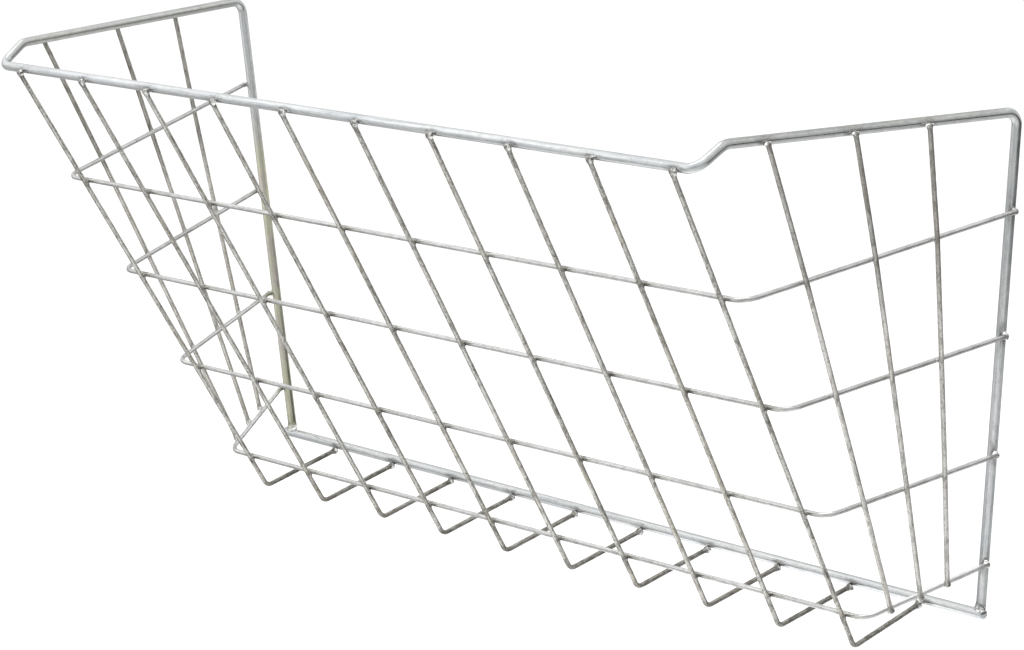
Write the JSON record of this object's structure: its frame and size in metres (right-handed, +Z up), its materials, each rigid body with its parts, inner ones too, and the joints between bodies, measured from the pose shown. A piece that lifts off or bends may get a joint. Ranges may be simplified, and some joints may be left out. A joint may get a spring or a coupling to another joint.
{
  "type": "wall hay rack",
  "caption": "Tapered basket of welded wire on a bent rod frame, flat at the back to hang on a wall and open at the top, so that animals pull hay through its mesh.",
  "frame": {"origin": "on the wall plane, on the bottom rail's rear facet behind the middle of the rack", "axes": "+X to the right along the wall, +Y into the wall, +Z up"},
  "size_m": [0.7316, 0.2301, 0.326],
  "materials": {
    "rod_zinc": "bright zinc plating on smooth rod",
    "wire_zinc": "dull zinc plating on drawn wire"
  },
  "bodies": {
    "root": {"rim_frame": "rod_zinc", "bottom_rail": "rod_zinc", "front_wire_01": "wire_zinc", "front_wire_02": "wire_zinc", "front_wire_03": "wire_zinc", "front_wire_04": "wire_zinc", "front_wire_05": "wire_zinc", "front_wire_06": "wire_zinc", "front_wire_07": "wire_zinc", "front_wire_08": "wire_zinc", "front_wire_09": "wire_zinc", "front_wire_10": "wire_zinc", "hoop_1": "wire_zinc", "hoop_2": "wire_zinc", "hoop_3": "wire_zinc", "hoop_4": "wire_zinc", "side_wire_left_1": "wire_zinc", "side_wire_left_2": "wire_zinc", "side_wire_left_3": "wire_zinc", "side_wire_right_1": "wire_zinc", "side_wire_right_2": "wire_zinc", "side_wire_right_3": "wire_zinc"}
  },
  "joints": []
}
